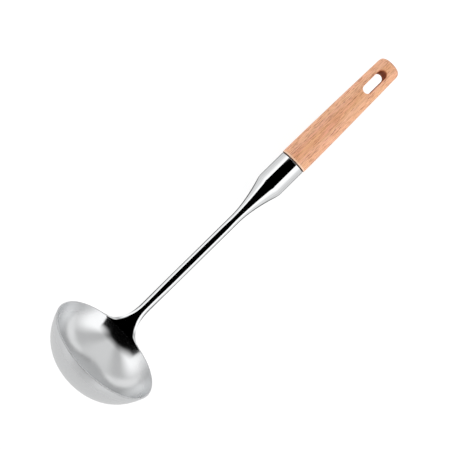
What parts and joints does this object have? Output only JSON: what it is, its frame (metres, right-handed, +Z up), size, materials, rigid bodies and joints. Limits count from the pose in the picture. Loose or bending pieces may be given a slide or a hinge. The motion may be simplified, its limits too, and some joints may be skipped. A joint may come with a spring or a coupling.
{
  "type": "soup ladle",
  "caption": "Kitchen ladle with a deep round steel bowl, a slim polished stem that fans out onto the rim, a conical ferrule and a turned beech handle with a hanging slot.",
  "frame": {"origin": "on the table, below the middle of the ladle's bounding box, with the ladle lying on its back as it rests", "axes": "+X along the ladle towards the handle, +Z up, with the bowl opening along +X and a little upwards"},
  "size_m": [0.3348, 0.0892, 0.0851],
  "materials": {
    "satin_steel": "satin",
    "polished_steel": "mirror polished",
    "epoxy": "cured, translucent amber",
    "beech": "sanded and oiled"
  },
  "bodies": {
    "root": {"bowl": "satin_steel", "stem": "polished_steel", "ferrule": "polished_steel", "epoxy_bond": "epoxy", "handle": "beech"}
  },
  "joints": []
}
